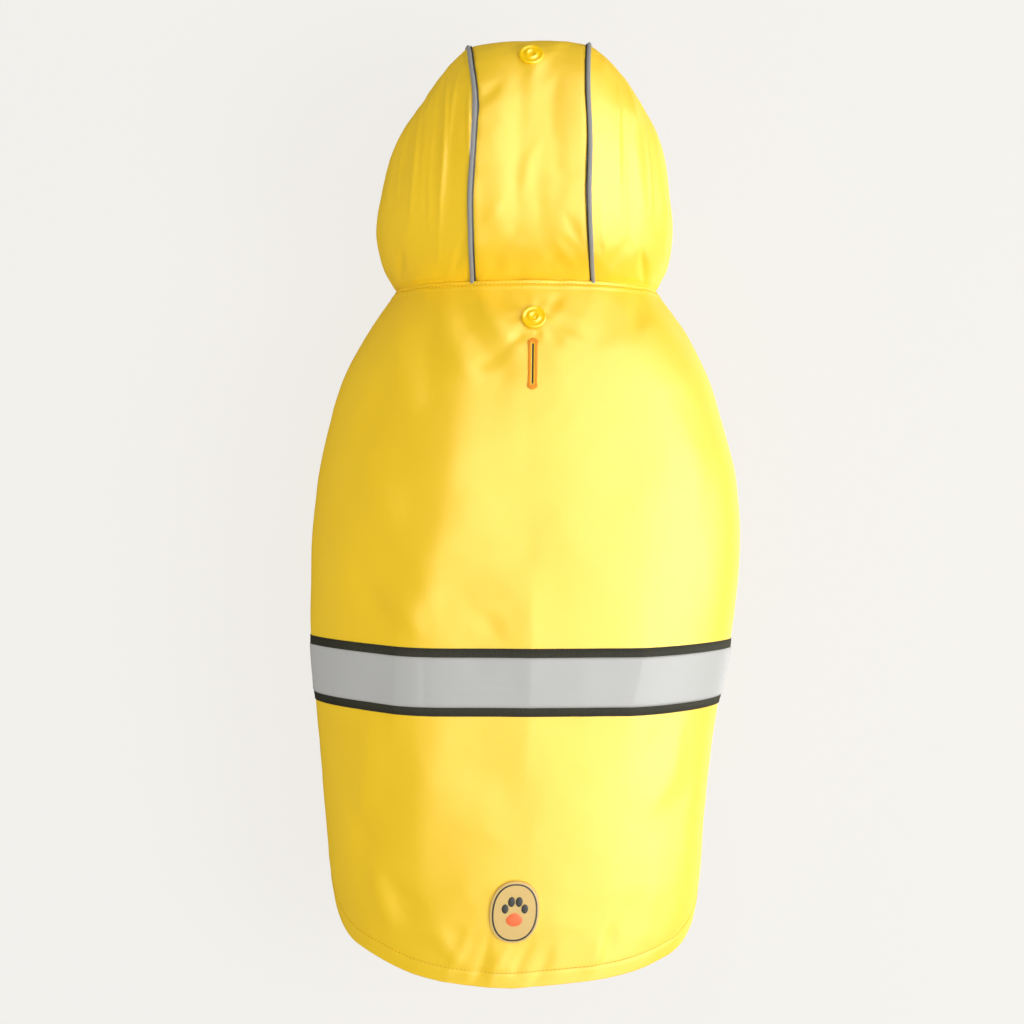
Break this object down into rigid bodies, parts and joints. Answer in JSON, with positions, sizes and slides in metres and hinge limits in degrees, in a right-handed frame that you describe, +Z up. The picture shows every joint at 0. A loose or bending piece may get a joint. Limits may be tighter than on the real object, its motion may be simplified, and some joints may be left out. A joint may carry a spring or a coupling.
{
  "type": "dog raincoat",
  "caption": "Yellow hooded dog raincoat, filled out as if worn, with a reflective band, hood piping, snaps, a leash slit and a lapped belly.",
  "frame": {"origin": "inside of the back panel over the wearer's withers, where the wearer's back carries the coat", "axes": "+X to the garment's right side seen from above, +Y along the back towards the hood, +Z up out of the back"},
  "size_m": [0.2303, 0.4833, 0.1456],
  "materials": {
    "coated_cloth": "satin coated waterproof cloth",
    "reflective_piping": "grey reflective piping",
    "ribbon": "matt ribbed grosgrain",
    "reflective_tape": "silver reflective tape",
    "snap_plastic": "glossy",
    "thread": "dense satin stitch",
    "badge_rubber": "satin",
    "hook_and_loop": "matt"
  },
  "bodies": {
    "root": {"back_panel": "coated_cloth", "belly_left": "coated_cloth", "belly_right": "coated_cloth", "belly_fastener": "hook_and_loop", "hood_center": "coated_cloth", "hood_left": "coated_cloth", "hood_right": "coated_cloth", "piping_left": "reflective_piping", "piping_right": "reflective_piping", "band_ribbon": "ribbon", "band_tape": "reflective_tape", "snap_hood": "snap_plastic", "snap_nape": "snap_plastic", "slit_binding": "thread", "badge": "badge_rubber"}
  },
  "joints": []
}
